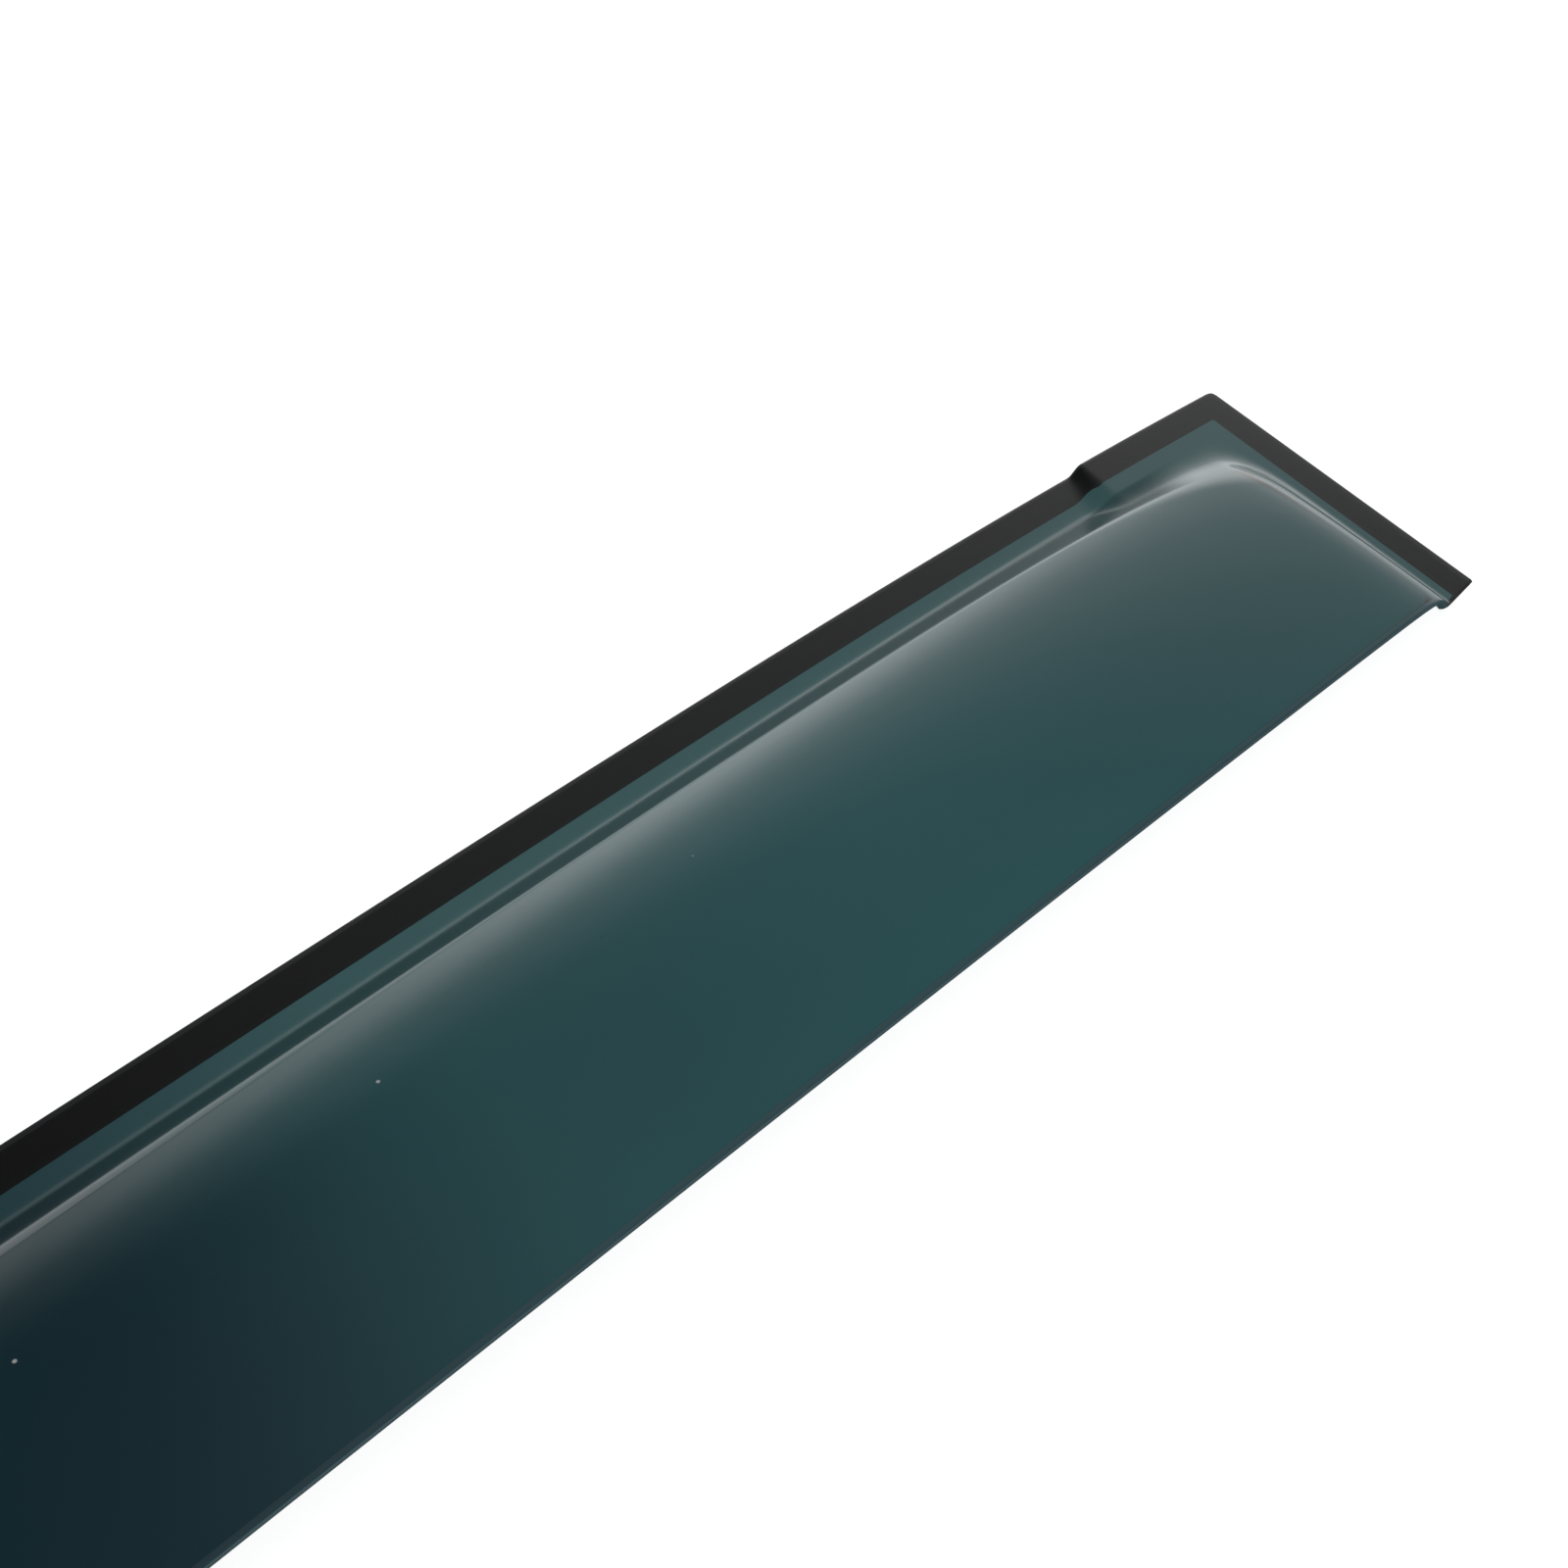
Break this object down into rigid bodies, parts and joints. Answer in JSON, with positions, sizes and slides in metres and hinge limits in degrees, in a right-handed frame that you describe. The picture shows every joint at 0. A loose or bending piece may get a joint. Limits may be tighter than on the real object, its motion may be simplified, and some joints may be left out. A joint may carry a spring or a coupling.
{
  "type": "window rain deflector",
  "caption": "Long tinted see-through visor with a taped flange, a stepped corner and a raised body that shields a side window's opening.",
  "frame": {"origin": "middle of the footprint, on the plane of the upper tape's adhesive face", "axes": "+X along the window toward the stepped end, +Y from the free lower edge to the taped upper edge, +Z away from the glass"},
  "size_m": [0.6196, 0.105, 0.0184],
  "materials": {
    "tinted_acrylic": "clear dark green tint, polished",
    "foam_tape": "matt closed-cell foam"
  },
  "bodies": {
    "root": {"deflector_shell": "tinted_acrylic", "top_tape": "foam_tape", "right_end_tape": "foam_tape", "left_end_tape": "foam_tape"}
  },
  "joints": []
}
